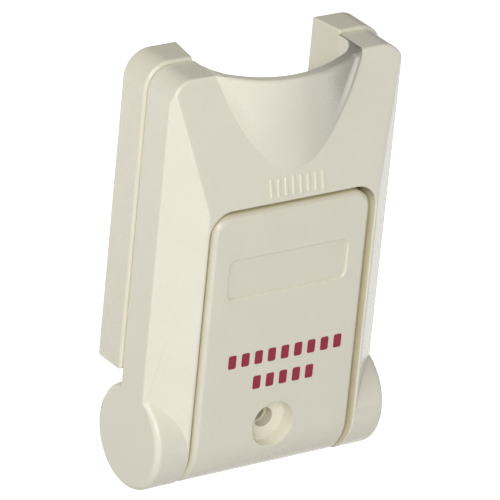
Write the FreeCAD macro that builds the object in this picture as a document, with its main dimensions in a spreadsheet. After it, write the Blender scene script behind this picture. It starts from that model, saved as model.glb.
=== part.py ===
import FreeCAD, Part
import math
import os
import re
import Sketcher
from FreeCAD import Vector

# Driving sizes of a wall-mounted pull-lever panic switch, in millimetres and degrees.
# Heights run up from the lowest point of the hinge barrel, depths run out from the wall,
# and a width is a full width about the middle plane, unless its name says otherwise.
SIZES = {
    # Whole switch
    "case_width": 63.5,
    "case_height": 101.6,
    "case_depth": 25.4,
    "barrel_radius": 12.4,
    # Rear housing tray
    "rear_depth": 8.9,
    "rear_bottom": 27.3,
    "case_corner": 6.3,
    "plate_thickness": 2.4,
    "rear_wall": 2.2,
    "rear_edge_bevel": 0.5,
    "notch_width": 36.7,
    "notch_flare": 1.4,
    "notch_step": 1.0,
    # Fixed centre box, which the front cover closes
    "split_set_back": 7.0,
    "box_wall": 2.0,
    "bearing_radius": 4.0,
    "bearing_length": 8.0,
    "post_radius": 4.2,
    "post_pilot_radius": 1.75,
    "post_pilot_depth": 12.0,
    "post_gap": 0.15,
    # Wall screws and wire entry in the back plate
    "screw_spacing": 24.0,
    "wall_screw_radius": 2.2,
    "screw_pad_radius": 4.4,
    "screw_pad_height": 0.8,
    "wire_hole_width": 10.0,
    "wire_hole_height": 7.0,
    "wire_hole_inset": 7.95,
    # Front cover
    "cover_side_gap": 1.15,
    "cover_top_gap": 1.4,
    "cover_set_back": 0.15,
    "cover_corner": 4.4,
    "cover_panel": 2.2,
    "cover_wall": 1.8,
    "cover_edge_bevel": 0.9,
    "cover_screw_height": 15.0,
    "counterbore_radius": 5.6,
    "counterbore_depth": 3.9,
    "seat_thickness": 2.2,
    "cover_hole_radius": 2.4,
    "plaque_width": 31.8,
    "plaque_height": 9.5,
    "plaque_drop": 15.9,
    "plaque_corner": 1.7,
    "plaque_depth": 0.45,
    "tongue_width": 7.0,
    "tongue_thickness": 1.3,
    "tongue_reach": 3.0,
    "tongue_offset": 11.0,
    "tongue_gap": 0.15,
    # Pull lever
    "seam_gap": 0.25,
    "lever_side_step": 0.7,
    "lever_top_step": 0.8,
    "lever_wall": 2.2,
    "facet_run": 8.15,
    "facet_fall": 7.7,
    "slope_run": 7.4,
    "window_inset": 8.75,
    "window_drop": 30.9,
    "window_corner": 5.6,
    "flange_thickness": 1.8,
    "flange_depth": 6.0,
    "ridge_round": 0.8,
    "disc_bevel": 0.9,
    # Finger lip between the ears of the lever
    "recess_width": 38.4,
    "recess_depth": 18.8,
    "recess_corner": 4.5,
    "lip_radius": 46.8,
    "lip_set_back": 3.0,
    "lip_wall": 3.0,
    "lip_tilt": 3.3,
    "rim_drop": 2.15,
    "rim_rise": 2.15,
    # Hinge pins and the spring washers that give the lever its friction
    "pin_radius": 1.5,
    "pin_length": 13.3,
    "pin_chamfer": 0.3,
    "pin_running_gap": 0.05,
    "pin_snug_gap": 0.02,
    "pin_end_play": 0.5,
    "knuckle_boss_radius": 3.6,
    "washer_gap": 0.05,
    "washer_outer_radius": 3.4,
    "washer_thickness": 0.3,
    "washer_cone": 1.0,
    # Magnet in the lever
    "magnet_length": 25.0,
    "magnet_section": 5.0,
    "magnet_gap": 0.08,
    "magnet_set_back": 5.4,
    "cradle_end_wall": 3.4,
    "keeper_thickness": 1.2,
    "keeper_peg_radius": 1.0,
    "keeper_peg_length": 3.0,
    "keeper_peg_gap": 0.03,
    "keeper_peg_offset": 14.2,
    "keeper_inset": 0.4,
    "keeper_corner": 0.8,
    "magnet_chamfer": 0.3,
    "cradle_skin": 1.6,
    # Circuit board and its screws
    "board_height": 29.5,
    "board_side_gap": 2.45,
    "board_top_gap": 1.35,
    "board_thickness": 1.6,
    "board_back": 7.0,
    "board_access_radius": 4.7,
    "access_rise": 3.3,
    "standoff_radius": 2.5,
    "standoff_inset": 3.6,
    "standoff_rise": 0.8,
    "board_screw_radius": 1.0,
    "board_screw_length": 5.2,
    "board_screw_head_radius": 1.9,
    "board_screw_head_height": 1.2,
    "board_hole_gap": 0.25,
    "board_corner": 1.0,
    "screw_head_bevel": 0.5,
    "cross_length": 2.2,
    "pilot_gap": 0.03,
    # Reed switch on the board
    "reed_radius": 1.15,
    "reed_length": 14.0,
    "reed_rise": 12.0,
    "reed_lift": 0.3,
    "lead_width": 0.5,
    "lead_span": 21.0,
    "lead_slot": 0.9,
    # Terminal block on the board
    "pole_pitch": 5.08,
    "block_height": 8.0,
    "block_depth": 10.0,
    "block_drop": 13.7,
    "well_radius": 1.95,
    "well_depth": 3.0,
    "entry_width": 3.6,
    "entry_depth": 4.4,
    "entry_height": 6.0,
    "entry_back": 1.6,
    "block_chamfer": 1.0,
    "clamp_gap": 0.1,
    "clamp_height": 4.0,
    "clamp_wall": 1.0,
    "clamp_side": 0.4,
    "terminal_screw_radius": 1.25,
    "terminal_screw_length": 3.6,
    "terminal_head_radius": 1.75,
    "terminal_head_height": 1.5,
    "slot_width": 0.6,
    "slot_depth": 0.6,
}

# Values worked out from the driving sizes, as expressions that follow them.
DERIVED = {
    "axis_depth": "(case_depth - barrel_radius)",
    "axis_height": "barrel_radius",
    "knuckle_radius": "(barrel_radius - cover_set_back)",
    "lever_back": "(rear_depth + seam_gap)",
    "lever_half": "(case_width / 2 - lever_side_step)",
    "lever_top": "(case_height - lever_top_step)",
    "lever_corner": "(case_corner - lever_side_step)",
    "window_half": "(lever_half - window_inset)",
    "window_top": "(case_height - window_drop)",
    "plateau_half": "(lever_half - facet_run)",
    "facet_back": "(case_depth - facet_fall)",
    "facet_length": "sqrt(facet_run * facet_run + facet_fall * facet_fall)",
    "ear_front": "(case_depth - slope_run)",
    "slope_rise": "(lever_top - window_top)",
    "slope_length": "sqrt(slope_run * slope_run + slope_rise * slope_rise)",
    "recess_half": "(recess_width / 2)",
    "recess_floor": "(lever_top - recess_depth)",
    "lip_front": "(case_depth - lip_set_back)",
    "rim_height": "(lever_top - rim_drop)",
    "rim_radius": "((recess_half * recess_half + rim_rise * rim_rise) / (2 * rim_rise))",
    "notch_half": "(notch_width / 2)",
    "notch_floor": "(recess_floor - notch_step)",
    "split_depth": "(case_depth - split_set_back)",
    "cover_front": "(case_depth - cover_set_back)",
    "cover_half": "(window_half - cover_side_gap)",
    "cover_top": "(window_top - cover_top_gap)",
    "cover_inner": "(cover_half - cover_wall)",
    "cover_inner_radius": "(knuckle_radius - cover_panel)",
    "seat_back": "(cover_front - counterbore_depth - seat_thickness)",
    "plaque_middle": "(cover_top - plaque_drop)",
    "box_inner": "(cover_half - box_wall)",
    "box_inner_radius": "(knuckle_radius - box_wall)",
    "wire_hole_offset": "(box_inner - wire_hole_inset)",
    "pin_start": "(cover_half - bearing_length + pin_end_play)",
    "magnet_front": "(case_depth - magnet_set_back)",
    "magnet_bottom": "((window_top + flange_thickness + recess_floor - lever_wall - magnet_section) / 2)",
    "cradle_half": "(magnet_length / 2 + cradle_end_wall)",
    "cradle_back": "(magnet_front - magnet_section - magnet_gap)",
    "board_half": "(box_inner - board_side_gap)",
    "board_middle": "(cover_top - box_wall - board_top_gap - board_height / 2)",
    "board_front": "(board_back + board_thickness)",
    "upper_screw_height": "(board_middle + access_rise)",
    "lower_screw_height": "(upper_screw_height - screw_spacing)",
    "origin_height": "(upper_screw_height - screw_spacing / 2)",
    "standoff_offset": "(board_half - standoff_inset)",
    "standoff_height": "(board_middle + standoff_rise)",
    "reed_height": "(board_middle + reed_rise)",
    "reed_depth": "(board_front + reed_radius + reed_lift)",
    "block_half": "(1.5 * pole_pitch)",
    "block_bottom": "(board_middle - block_drop)",
    "block_front": "(board_front + block_depth)",
    "screw_seat": "(block_front - well_depth)",
    "pole_height": "(block_bottom + block_height / 2)",
}

OVERSHOOT = 1.0
ROOT = 0.3


def expand(text):
    """Put derived values and sheet cells in place of the names in an expression."""
    def swap(match):
        name = match.group(0)
        if name in DERIVED:
            return "(" + expand(DERIVED[name]) + ")"
        return "sizes." + name if name in SIZES else name
    return re.sub(r"[a-z][a-z_]*", swap, text)


def value(text):
    """Number that an expression gives at the sheet's present sizes."""
    return float(sheet.evalExpression(expand(text)))


def bind(item, prop, text):
    """Tie one property of an object to an expression of the sheet's sizes."""
    item.setExpression(prop, expand(text))


def seat_on_row(item):
    """Shift a finished sub-part down, so that the origin lies between the wall screws."""
    bind(item, "Placement.Base.z", "-origin_height")


def new_body(label):
    """Empty body for one sub-part, in the drawing frame until it is seated."""
    body = doc.addObject("PartDesign::Body", label)
    body.Label = label
    return body


def add_arc(sketch, start, end, radius, turn):
    """Arc from start to end, shorter than a half circle, turning ccw or cw."""
    chord = end - start
    side = Vector(-chord.y, chord.x, 0).normalize()
    rise = math.sqrt(max(radius ** 2 - chord.Length ** 2 / 4, 0))
    centre = (start + end) * 0.5 + side * (rise if turn == "ccw" else -rise)
    first, last = (start, end) if turn == "ccw" else (end, start)
    low = math.atan2(first.y - centre.y, first.x - centre.x)
    high = math.atan2(last.y - centre.y, last.x - centre.x)
    if high < low:
        high += 2 * math.pi
    sketch.addGeometry(Part.ArcOfCircle(Part.Circle(centre, Vector(0, 0, 1), radius), low, high), False)
    return (1, 2) if turn == "ccw" else (2, 1)


def tie(sketch, kind, refs, text):
    """Add one dimension to a sketch and bind it to an expression."""
    index = sketch.addConstraint(Sketcher.Constraint(kind, *refs, value(text)))
    bind(sketch, f"Constraints[{index}]", text)


def draw_outline(sketch, outline):
    """Closed outline of (x, y) corners; a corner with (x, y, radius, turn) starts an arc."""
    first = sketch.GeometryCount
    count = len(outline)
    spots = [Vector(value(corner[0]), value(corner[1]), 0) for corner in outline]
    ends = []
    for index, corner in enumerate(outline):
        start = spots[index]
        end = spots[(index + 1) % count]
        if len(corner) == 2:
            sketch.addGeometry(Part.LineSegment(start, end), False)
            ends.append((1, 2))
        else:
            ends.append(add_arc(sketch, start, end, value(corner[2]), corner[3]))
    for index in range(count):
        after = (index + 1) % count
        joint = (first + index, ends[index][1], first + after, ends[after][0])
        sketch.addConstraint(Sketcher.Constraint("Coincident", *joint))
    for index, corner in enumerate(outline):
        place = (-1, 1, first + index, ends[index][0])
        tie(sketch, "DistanceX", place, corner[0])
        tie(sketch, "DistanceY", place, corner[1])
        if len(corner) == 4:
            tie(sketch, "Radius", (first + index,), corner[2])


def draw_circle(sketch, x, y, radius):
    """Full circle whose centre and radius are bound to expressions."""
    circle = Part.Circle(Vector(value(x), value(y), 0), Vector(0, 0, 1), value(radius))
    index = sketch.addGeometry(circle, False)
    tie(sketch, "DistanceX", (-1, 1, index, 3), x)
    tie(sketch, "DistanceY", (-1, 1, index, 3), y)
    tie(sketch, "Radius", (index,), radius)


def new_sketch(body, role, outlines=(), circles=(), lift="0", shift=("0", "0"), tilt=None):
    """Sketch on one of the body's own planes, moved along the plane by shift and off it by lift."""
    sketch = body.newObject("Sketcher::SketchObject", body.Label + "_profile")
    plane = next(item for item in body.Origin.OriginFeatures if item.Role == role)
    sketch.AttachmentSupport = [(plane, "")]
    sketch.MapMode = "FlatFace"
    bind(sketch, "AttachmentOffset.Base.x", shift[0])
    bind(sketch, "AttachmentOffset.Base.y", shift[1])
    bind(sketch, "AttachmentOffset.Base.z", lift)
    if tilt:
        offset = sketch.AttachmentOffset
        offset.Rotation = FreeCAD.Rotation(Vector(-1, 0, 0), value(tilt))
        sketch.AttachmentOffset = offset
        bind(sketch, "AttachmentOffset.Rotation.Angle", tilt)
    for outline in outlines:
        draw_outline(sketch, outline)
    for circle in circles:
        draw_circle(sketch, *circle)
    return sketch


def checked(body, feature, grows):
    """Recompute, and stop if a feature failed or left the volume as it was."""
    before = body.Shape.Volume if not body.Shape.isNull() else 0.0
    doc.recompute()
    after = body.Shape.Volume
    if feature.State != ["Up-to-date"] or (after - before) * (1 if grows else -1) < 1e-6:
        raise RuntimeError(f"{body.Label}: {feature.Name} changed nothing or failed")
    return feature


def pad(body, sketch, length, both=False, backward=False):
    """Add the sketch's outline as material."""
    feature = body.newObject("PartDesign::Pad", body.Label + "_pad")
    feature.Profile = sketch
    bind(feature, "Length", length)
    feature.Midplane = both
    feature.Reversed = backward
    return checked(body, feature, True)


def pocket(body, sketch, length=None, both=False, backward=False):
    """Cut the sketch's outline away, right through where no length is given."""
    feature = body.newObject("PartDesign::Pocket", body.Label + "_pocket")
    feature.Profile = sketch
    if length is None:
        feature.Type = "ThroughAll"
    else:
        bind(feature, "Length", length)
    feature.Midplane = both
    feature.Reversed = backward
    return checked(body, feature, False)


def revolve(body, sketch, axis="V_Axis"):
    """Turn the sketch's outline once round its own upright or level axis."""
    feature = body.newObject("PartDesign::Revolution", body.Label + "_turn")
    feature.Profile = sketch
    feature.ReferenceAxis = (sketch, [axis])
    feature.Angle = 360.0
    return checked(body, feature, True)


def soften(body, kind, prop, size, wanted):
    """Round or chamfer the edges for which wanted(middle, edge) holds."""
    base = body.Tip
    names = []
    for index, edge in enumerate(body.Shape.Edges):
        middle = edge.valueAt((edge.FirstParameter + edge.LastParameter) / 2)
        if wanted(middle, edge):
            names.append(f"Edge{index + 1}")
    feature = body.newObject("PartDesign::" + kind, body.Label + "_" + kind.lower())
    feature.Base = (base, names)
    bind(feature, prop, size)
    doc.recompute()
    if feature.State != ["Up-to-date"]:
        raise RuntimeError(f"{body.Label}: {kind} of {len(names)} edges failed")
    return feature


def near(number, text, slack=0.02):
    """Whether a coordinate lies on the place that an expression gives."""
    return abs(number - value(text)) < slack


def is_straight(edge):
    """Whether an edge is a straight line."""
    return edge.Curve.TypeId == "Part::GeomLine"


def box_outline(left, right, low, high):
    """Rectangle outline from its four limits."""
    return [(left, low), (left, high), (right, high), (right, low)]


def centred_outline(x, y, width, height):
    """Rectangle outline about its own middle."""
    low, high = (f"{y} {sign} {height} / 2" for sign in "-+")
    return box_outline(f"{x} - {width} / 2", f"{x} + {width} / 2", low, high)


def arch_outline(half, low, high, corner):
    """Outline about the middle plane with square lower and rounded upper corners."""
    return [
        (f"-({half})", low),
        (f"-({half})", f"{high} - {corner}", corner, "cw"),
        (f"-({half}) + {corner}", high),
        (f"({half}) - {corner}", high, corner, "cw"),
        (half, f"{high} - {corner}"),
        (half, low),
    ]


def plaque_outline(half, low, high, corner):
    """Rectangle about the middle plane with four rounded corners."""
    return [
        (f"-({half})", f"{low} + {corner}"),
        (f"-({half})", f"{high} - {corner}", corner, "cw"),
        (f"-({half}) + {corner}", high),
        (f"({half}) - {corner}", high, corner, "cw"),
        (half, f"{high} - {corner}"),
        (half, f"{low} + {corner}", corner, "cw"),
        (f"({half}) - {corner}", low),
        (f"-({half}) + {corner}", low, corner, "cw"),
    ]


def knuckle_waste():
    """Side-view outline of what lies outside the lower front quarter of the fixed barrel."""
    front = f"-(axis_depth + knuckle_radius + {OVERSHOOT})"
    return [
        ("-axis_depth", "axis_height - knuckle_radius", "knuckle_radius", "cw"),
        ("-(axis_depth + knuckle_radius)", "axis_height"),
        (front, "axis_height"),
        (front, f"-{OVERSHOOT}"),
        ("-axis_depth", f"-{OVERSHOOT}"),
    ]


def arc_height(radius, depth):
    """Height at which a barrel of the given radius reaches a depth, on its lower front quarter."""
    return f"axis_height - sqrt({radius} * {radius} - ({depth} - axis_depth) * ({depth} - axis_depth))"


def make_rear_housing():
    """Tray with two ears, and the fixed centre box with the middle knuckle of the hinge."""
    body = new_body("rear_housing")
    tray = arch_outline("case_width / 2", "rear_bottom", "case_height", "case_corner")
    pad(body, new_sketch(body, "XZ_Plane", [tray]), "rear_depth")
    soften(body, "Chamfer", "Size", "rear_edge_bevel",
           lambda at, edge: near(at.y, "-rear_depth") or near(at.z, "rear_bottom") and near(at.y, "0"))
    inner = "case_width / 2 - rear_wall"
    corner = "(case_corner - rear_wall)"
    top = "case_height - rear_wall"
    ear = "notch_half + notch_flare + rear_wall"
    shelf = "notch_floor - rear_wall"
    hollow = [
        (f"-({inner})", "rear_bottom + rear_wall"),
        (f"-({inner})", f"{top} - {corner}", corner, "cw"),
        (f"-({inner}) + {corner}", top),
        (f"-({ear})", top),
        (f"-({ear})", shelf),
        (ear, shelf),
        (ear, top),
        (f"{inner} - {corner}", top, corner, "cw"),
        (inner, f"{top} - {corner}"),
        (inner, "rear_bottom + rear_wall"),
    ]
    pocket(body, new_sketch(body, "XZ_Plane", [hollow], lift="rear_depth"), "rear_depth - plate_thickness")
    narrow = f"(notch_half - notch_flare * {OVERSHOOT} / rear_depth)"
    wide = f"(notch_half + notch_flare * (rear_depth + {OVERSHOOT}) / rear_depth)"
    notch = [
        (f"-{narrow}", str(OVERSHOOT)),
        (narrow, str(OVERSHOOT)),
        (wide, f"-(rear_depth + {OVERSHOOT})"),
        (f"-{wide}", f"-(rear_depth + {OVERSHOOT})"),
    ]
    sketch = new_sketch(body, "XY_Plane", [notch], lift="notch_floor")
    pocket(body, sketch, f"case_height - notch_floor + {OVERSHOOT}", backward=True)
    box = arch_outline("cover_half", "cover_set_back", "cover_top", "cover_corner")
    pad(body, new_sketch(body, "XZ_Plane", [box]), "split_depth")
    pocket(body, new_sketch(body, "YZ_Plane", [knuckle_waste()]), both=True)
    mouth = f"(split_depth + {OVERSHOOT})"
    room = [
        (f"-{mouth}", "cover_top - box_wall"),
        ("-plate_thickness", "cover_top - box_wall"),
        ("-plate_thickness", "axis_height - box_inner_radius"),
        ("-axis_depth", "axis_height - box_inner_radius", "box_inner_radius", "cw"),
        (f"-{mouth}", arc_height("box_inner_radius", mouth)),
    ]
    pocket(body, new_sketch(body, "YZ_Plane", [room]), "2 * box_inner", both=True)
    for side in (-1, 1):
        ring = [("-axis_depth", "axis_height", "bearing_radius")]
        start = f"{side} * (cover_half - bearing_length)"
        sketch = new_sketch(body, "YZ_Plane", circles=ring, lift=start)
        pad(body, sketch, "bearing_length - box_wall / 2", backward=side < 0)
    bore = [("-axis_depth", "axis_height", "pin_radius + pin_running_gap")]
    pocket(body, new_sketch(body, "YZ_Plane", circles=bore), both=True)
    rooted = f"plate_thickness - {ROOT}"
    post = [("0", "cover_screw_height", "post_radius")]
    pad(body, new_sketch(body, "XZ_Plane", circles=post, lift=rooted), f"seat_back - post_gap - ({rooted})")
    pilot = [("0", "cover_screw_height", "post_pilot_radius")]
    pocket(body, new_sketch(body, "XZ_Plane", circles=pilot, lift="seat_back - post_gap"), "post_pilot_depth")
    rings = [("0", level, "screw_pad_radius") for level in ("upper_screw_height", "lower_screw_height")]
    pad(body, new_sketch(body, "XZ_Plane", circles=rings, lift=rooted), f"screw_pad_height + {ROOT}")
    holes = [("0", level, "wall_screw_radius") for level in ("upper_screw_height", "lower_screw_height")]
    pocket(body, new_sketch(body, "XZ_Plane", circles=holes), both=True)
    entry = centred_outline("wire_hole_offset", "lower_screw_height", "wire_hole_width", "wire_hole_height")
    pocket(body, new_sketch(body, "XZ_Plane", [entry]), both=True)
    posts = [(f"{side} * standoff_offset", "standoff_height", "standoff_radius") for side in (-1, 1)]
    pad(body, new_sketch(body, "XZ_Plane", circles=posts, lift=rooted), f"board_back - ({rooted})")
    pilots = [(f"{side} * standoff_offset", "standoff_height", "board_screw_radius + pilot_gap")
              for side in (-1, 1)]
    pocket(body, new_sketch(body, "XZ_Plane", circles=pilots, lift="board_back"), "board_screw_length")
    seat_on_row(body)


def make_front_cover():
    """Shallow cover of the centre box, whose lower end rounds off with the barrel."""
    body = new_body("front_cover")
    face = arch_outline("cover_half", "0", "cover_top", "cover_corner")
    depth = "cover_front - split_depth"
    pad(body, new_sketch(body, "XZ_Plane", [face], lift="split_depth"), depth)
    pocket(body, new_sketch(body, "YZ_Plane", [knuckle_waste()]), both=True)
    axis = Vector(0, -value("axis_depth"), value("axis_height"))

    def on_front(at, edge):
        reach = math.hypot(at.y - axis.y, at.z - axis.z)
        on_round = at.z < axis.z and abs(reach - value("knuckle_radius")) < 0.02
        at_side = abs(abs(at.x) - value("cover_half")) < 0.02
        on_panel = near(at.y, "-cover_front") and not (near(at.z, "axis_height") and abs(at.x) < 1)
        return on_panel or on_round and at_side

    soften(body, "Chamfer", "Size", "cover_edge_bevel", on_front)
    mouth = f"(split_depth - {OVERSHOOT})"
    inside = "(cover_front - cover_panel)"
    room = [
        (f"-{mouth}", "cover_top - cover_wall"),
        (f"-{inside}", "cover_top - cover_wall"),
        (f"-{inside}", "axis_height", "cover_inner_radius", "ccw"),
        (f"-{mouth}", arc_height("cover_inner_radius", mouth)),
    ]
    pocket(body, new_sketch(body, "YZ_Plane", [room]), "2 * cover_inner", both=True)
    boss = [("0", "cover_screw_height", "counterbore_radius + cover_wall")]
    pad(body, new_sketch(body, "XZ_Plane", circles=boss, lift="seat_back"), "seat_thickness + cover_wall")
    sink = [("0", "cover_screw_height", "counterbore_radius")]
    pocket(body, new_sketch(body, "XZ_Plane", circles=sink, lift="cover_front"), "counterbore_depth")
    hole = [("0", "cover_screw_height", "cover_hole_radius")]
    pocket(body, new_sketch(body, "XZ_Plane", circles=hole), both=True)
    panel = plaque_outline("plaque_width / 2", "(plaque_middle - plaque_height / 2)",
                           "(plaque_middle + plaque_height / 2)", "plaque_corner")
    pocket(body, new_sketch(body, "XZ_Plane", [panel], lift="cover_front"), "plaque_depth")
    ceiling = "(cover_top - box_wall - tongue_gap)"
    middle = f"({ceiling} - tongue_thickness / 2)"
    tongues = [
        centred_outline(f"{side} * tongue_offset", middle, "tongue_width", "tongue_thickness")
        for side in (-1, 1)
    ]
    start = "split_depth - tongue_reach"
    pad(body, new_sketch(body, "XZ_Plane", tongues, lift=start), f"tongue_reach + {depth} - cover_panel / 2")
    seat_on_row(body)


def lever_block(body, inset):
    """Block with rounded top corners, facets and a sloping brow, smaller by inset all round."""
    top = f"(lever_top - {inset})"
    front = f"(case_depth - {inset})"
    half = f"(lever_half - {inset})"
    back = "lever_back" if inset == "0" else f"(lever_back - {OVERSHOOT})"
    block = arch_outline(half, "axis_height", top, f"(lever_corner - {inset})")
    pad(body, new_sketch(body, "XZ_Plane", [block], lift=back), f"{front} - {back}")
    beyond = f"(case_depth + {OVERSHOOT})"
    brow_shift = f"{inset} * slope_length / slope_rise"
    brow_foot = f"(window_top + {inset} * (slope_rise - slope_length) / slope_run)"
    brow_head = f"(ear_front - {brow_shift})"
    brow = [
        (f"-{brow_head}", "lever_top"),
        (f"-{front}", brow_foot),
        (f"-{beyond}", brow_foot),
        (f"-{beyond}", f"lever_top + {OVERSHOOT}"),
        (f"-{brow_head}", f"lever_top + {OVERSHOOT}"),
    ]
    pocket(body, new_sketch(body, "YZ_Plane", [brow]), both=True)
    edge_depth = f"(facet_back - {inset} * facet_length / facet_run)"
    edge_half = f"(plateau_half - {inset} * facet_length / facet_fall)"
    facets = [
        [(f"{side} * lever_half", f"-{edge_depth}"), (f"{side} * {edge_half}", "-case_depth"),
         (f"{side} * {edge_half}", f"-{beyond}"), (f"{side} * (lever_half + {OVERSHOOT})", f"-{beyond}"),
         (f"{side} * (lever_half + {OVERSHOOT})", f"-{edge_depth}")]
        for side in (-1, 1)
    ]
    pocket(body, new_sketch(body, "XY_Plane", facets), both=True)


def lip_sketch(body, inset, back):
    """Plan of the bowed lip seen along its own slight lean, from its front arc to a depth behind it."""
    reach = f"sqrt((lip_radius - {inset}) * (lip_radius - {inset}) - recess_half * recess_half)"
    plan = [
        ("-recess_half", back),
        ("recess_half", back),
        ("recess_half", f"lip_radius - {reach}", f"lip_radius - {inset}", "cw"),
        ("-recess_half", f"lip_radius - {reach}"),
    ]
    return new_sketch(body, "XY_Plane", [plan], lift="lever_top", shift=("0", "-lip_front"), tilt="lip_tilt")


def keeper_pegs(gap):
    """Circles of the two keeper pegs, wider than the pegs by a gap."""
    middle = "magnet_bottom + magnet_section / 2"
    return [(f"{side} * keeper_peg_offset", middle, f"keeper_peg_radius + {gap}") for side in (-1, 1)]


def make_lever_core():
    """Room inside the lever, a wall smaller than its outside, without the finger recess."""
    body = new_body("lever_core")
    lever_block(body, "lever_wall")
    knuckle = "(barrel_radius - lever_wall)"
    behind = str(OVERSHOOT)
    barrel = [
        (behind, f"axis_height - {knuckle}"),
        ("-axis_depth", f"axis_height - {knuckle}", knuckle, "cw"),
        (f"-(axis_depth + {knuckle})", "axis_height", knuckle, "cw"),
        ("-axis_depth", f"axis_height + {knuckle}"),
        (behind, f"axis_height + {knuckle}"),
    ]
    pad(body, new_sketch(body, "YZ_Plane", [barrel]), "2 * (lever_half - lever_wall)", both=True)
    around = "(recess_half + lever_wall)"
    recess = box_outline(f"-{around}", around, "recess_floor - lever_wall", f"lever_top + {OVERSHOOT}")
    pocket(body, new_sketch(body, "XZ_Plane", [recess]), both=True)
    return body


def make_finger_recess():
    """Room for the fingers behind the bowed lip, open at the top and towards the wall."""
    body = new_body("finger_recess")
    behind = "lip_front + case_depth"
    pad(body, lip_sketch(body, "lip_wall", behind), "lever_top - window_top", backward=True)
    pad(body, lip_sketch(body, "lip_wall", behind), f"2 * {OVERSHOOT}")
    side = value("recess_half")
    soften(body, "Fillet", "Radius", "recess_corner",
           lambda at, edge: is_straight(edge) and abs(abs(at.x) - side) < 0.02 and at.y < 0
           and abs(edge.tangentAt(edge.FirstParameter).z) > 0.9)
    wide = f"(recess_half + {OVERSHOOT})"
    below = box_outline(f"-{wide}", wide, "window_top / 2", "recess_floor")
    pocket(body, new_sketch(body, "XZ_Plane", [below]), both=True)
    return body


def make_pull_lever():
    """Hollow lever with two ears, the bowed finger lip between them, and a knuckle at each side."""
    body = new_body("pull_lever")
    lever_block(body, "0")
    back = value("lever_back")

    def on_ridge(at, edge):
        lowest = min(vertex.Z for vertex in edge.Vertexes)
        level = is_straight(edge) and abs(edge.tangentAt(edge.FirstParameter).z) < 0.02
        at_window = near(at.z, "window_top") and level
        return abs(at.y) > back + 0.5 and not near(at.z, "axis_height") and not at_window \
            and not (level and abs(at.x) > value("lever_half") - 0.02) and lowest > -1

    soften(body, "Fillet", "Radius", "ridge_round", on_ridge)
    pad(body, lip_sketch(body, "0", "lip_front - lever_back"), "lever_top - window_top", backward=True)
    above = f"(lever_top + 2 * {OVERSHOOT})"
    rim = [
        ("-recess_half", "rim_height + rim_rise", "rim_radius", "ccw"),
        ("recess_half", "rim_height + rim_rise"),
        ("recess_half", above),
        ("-recess_half", above),
    ]
    pocket(body, new_sketch(body, "XZ_Plane", [rim]), both=True)
    barrel = [
        ("-lever_half", "0"),
        ("-lever_half", "barrel_radius - disc_bevel"),
        ("-lever_half + disc_bevel", "barrel_radius"),
        ("lever_half - disc_bevel", "barrel_radius"),
        ("lever_half", "barrel_radius - disc_bevel"),
        ("lever_half", "0"),
    ]
    sketch = new_sketch(body, "XZ_Plane", [barrel], lift="axis_depth", shift=("0", "axis_height"))
    revolve(body, sketch, "H_Axis")
    rooms = body.newObject("PartDesign::Boolean", "pull_lever_rooms")
    rooms.Type = "Cut"
    rooms.setObjects([make_lever_core(), make_finger_recess()])
    checked(body, rooms, False)
    half = "window_half"
    for side in (-1, 1):
        web = [("-axis_depth", "axis_height", "barrel_radius - disc_bevel")]
        sketch = new_sketch(body, "YZ_Plane", circles=web, lift=f"{side} * {half}")
        pad(body, sketch, "flange_thickness", backward=side < 0)
        boss = [("-axis_depth", "axis_height", "knuckle_boss_radius")]
        sketch = new_sketch(body, "YZ_Plane", circles=boss, lift=f"{side} * {half}")
        pad(body, sketch, f"lever_half - lever_wall / 2 - {half}", backward=side < 0)
    flange = arch_outline(f"({half} + flange_thickness)", "axis_height", "window_top + flange_thickness",
                          "(window_corner + flange_thickness)")
    frame = new_sketch(body, "XZ_Plane", [flange], lift="case_depth - flange_depth")
    pad(body, frame, "flange_depth - 3 * lever_wall / 4")
    cradle = box_outline("-cradle_half", "cradle_half",
                         "window_top + flange_thickness / 2", "recess_floor - lever_wall / 2")
    sketch = new_sketch(body, "XZ_Plane", [cradle], lift="cradle_back")
    pad(body, sketch, "magnet_section + 2 * magnet_gap + cradle_skin")
    window = arch_outline(half, f"-{OVERSHOOT}", "window_top", "window_corner")
    pocket(body, new_sketch(body, "XZ_Plane", [window]), both=True)
    for side in (-1, 1):
        bore = [("-axis_depth", "axis_height", "pin_radius + pin_snug_gap")]
        sketch = new_sketch(body, "YZ_Plane", circles=bore, lift=f"{side} * {half}")
        pocket(body, sketch, f"pin_start + pin_length + pin_chamfer - {half}", backward=side > 0)
    room = "(magnet_length / 2 + magnet_gap)"
    slot = box_outline(f"-{room}", room, "magnet_bottom - magnet_gap",
                       "magnet_bottom + magnet_section + magnet_gap")
    sketch = new_sketch(body, "XZ_Plane", [slot], lift="cradle_back")
    pocket(body, sketch, "magnet_section + 2 * magnet_gap", backward=True)
    sketch = new_sketch(body, "XZ_Plane", circles=keeper_pegs("keeper_peg_gap"), lift="cradle_back")
    pocket(body, sketch, "keeper_peg_length + 2 * keeper_peg_gap", backward=True)
    seat_on_row(body)


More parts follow.
